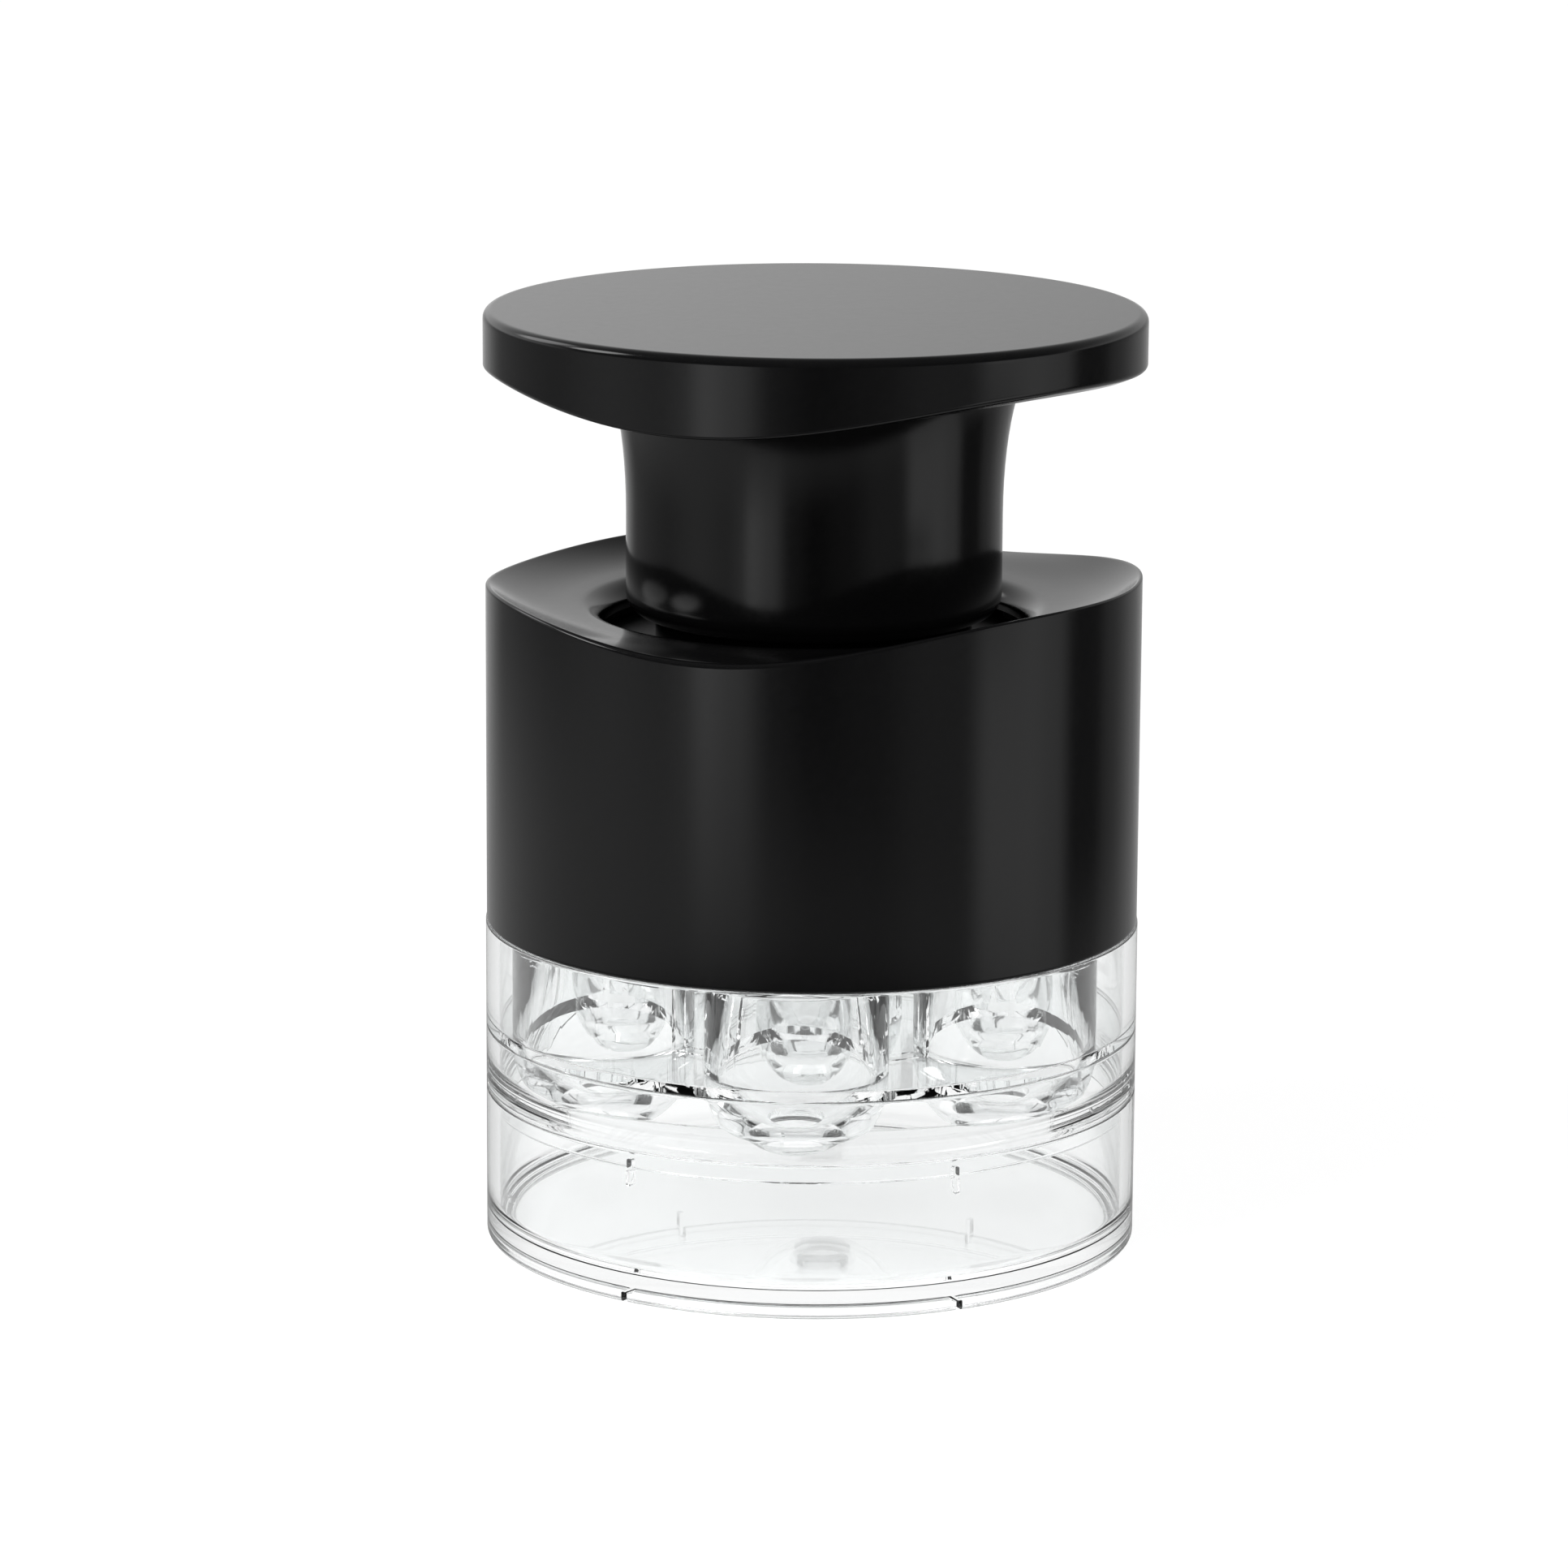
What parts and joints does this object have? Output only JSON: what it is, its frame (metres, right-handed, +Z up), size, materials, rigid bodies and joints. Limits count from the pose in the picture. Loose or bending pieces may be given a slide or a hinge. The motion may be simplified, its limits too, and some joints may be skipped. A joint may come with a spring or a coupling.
{
  "type": "multi cherry pitter",
  "caption": "Round hand press cherry pitter: black cap and neck slide down into a black body and push plungers through clear cups over a clear pit container.",
  "frame": {"origin": "middle of the foot ring, on the surface the press stands on", "axes": "+Z up along the stroke, the front cup towards -Y"},
  "size_m": [0.1, 0.1, 0.143],
  "materials": {
    "black_plastic": "satin black, smooth",
    "dark_plastic": "plain moulded",
    "clear_plastic": "clear, polished",
    "steel": "bright drawn wire and screws",
    "rubber": "matte"
  },
  "bodies": {
    "base": {"pit_container": "clear_plastic"},
    "tray": {"cup_tray": "clear_plastic", "cherry_cups": "clear_plastic"},
    "head": {"body_shell": "black_plastic", "guide_plate": "dark_plastic", "guide_plate_screws": "steel", "return_spring": "steel"},
    "press": {"press_cap": "black_plastic", "press_neck": "black_plastic", "plunger_carrier": "dark_plastic", "clamp_plate": "dark_plastic", "stop_pads": "rubber", "neck_screws": "steel", "plunger_rod_1": "dark_plastic", "plunger_rod_2": "dark_plastic", "plunger_rod_3": "dark_plastic", "plunger_rod_4": "dark_plastic", "plunger_rod_5": "dark_plastic", "plunger_rod_6": "dark_plastic", "plunger_rod_7": "dark_plastic"}
  },
  "joints": [
    {"name": "tray_lift", "type": "slide", "parent": "base", "child": "tray", "axis": [0, 0, 1], "range_m": [0, 0.04]},
    {"name": "head_lift", "type": "slide", "parent": "tray", "child": "head", "axis": [0, 0, 1], "range_m": [0, 0.06]},
    {"name": "press_stroke", "type": "slide", "parent": "head", "child": "press", "axis": [0, 0, -1], "range_m": [0, 0.031], "stiffness_N_per_m": 260, "springref_m": -0.03, "deforming": ["return_spring"]}
  ]
}
